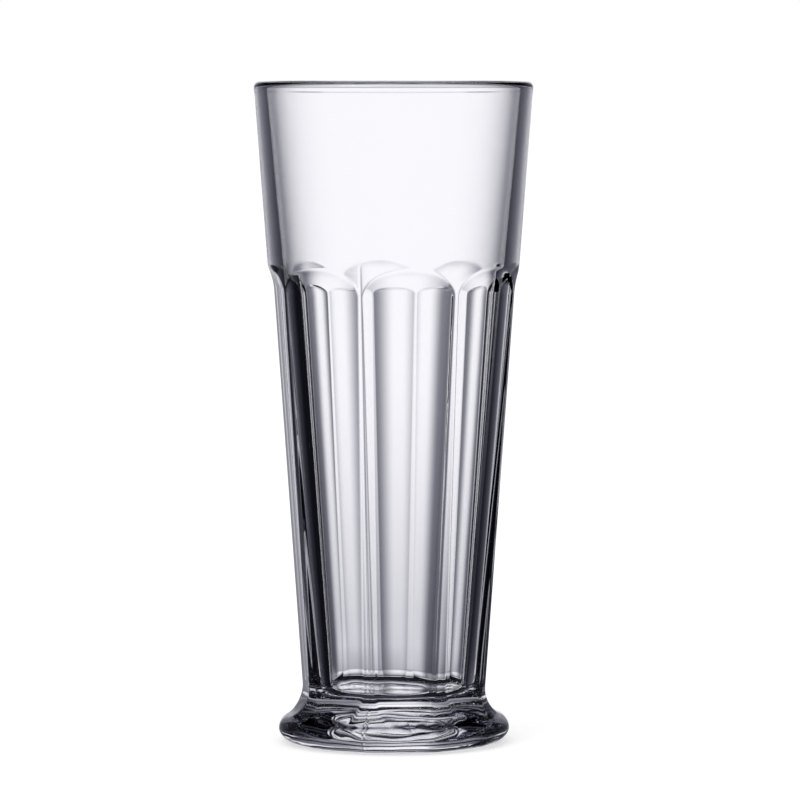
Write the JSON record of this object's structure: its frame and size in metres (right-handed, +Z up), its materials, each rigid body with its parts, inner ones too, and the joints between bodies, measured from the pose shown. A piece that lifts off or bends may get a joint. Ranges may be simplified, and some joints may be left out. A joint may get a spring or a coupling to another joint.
{
  "type": "footed soda glass",
  "caption": "Tall footed soda glass of clear pressed glass: a tapered bowl with a plain band under the rim, eight flat panels that end in arches above and sweep out over the flare below, and a round foot.",
  "frame": {"origin": "on the axis of the glass, on the plane that it stands on", "axes": "+Z up along the axis of the glass; one flat panel faces -Y, the front"},
  "size_m": [0.0758, 0.0758, 0.18],
  "materials": {
    "clear_glass": "clear, fire-polished pressed soda-lime glass with a faint cool tint"
  },
  "bodies": {
    "root": {"bowl": "clear_glass", "foot": "clear_glass"}
  },
  "joints": []
}
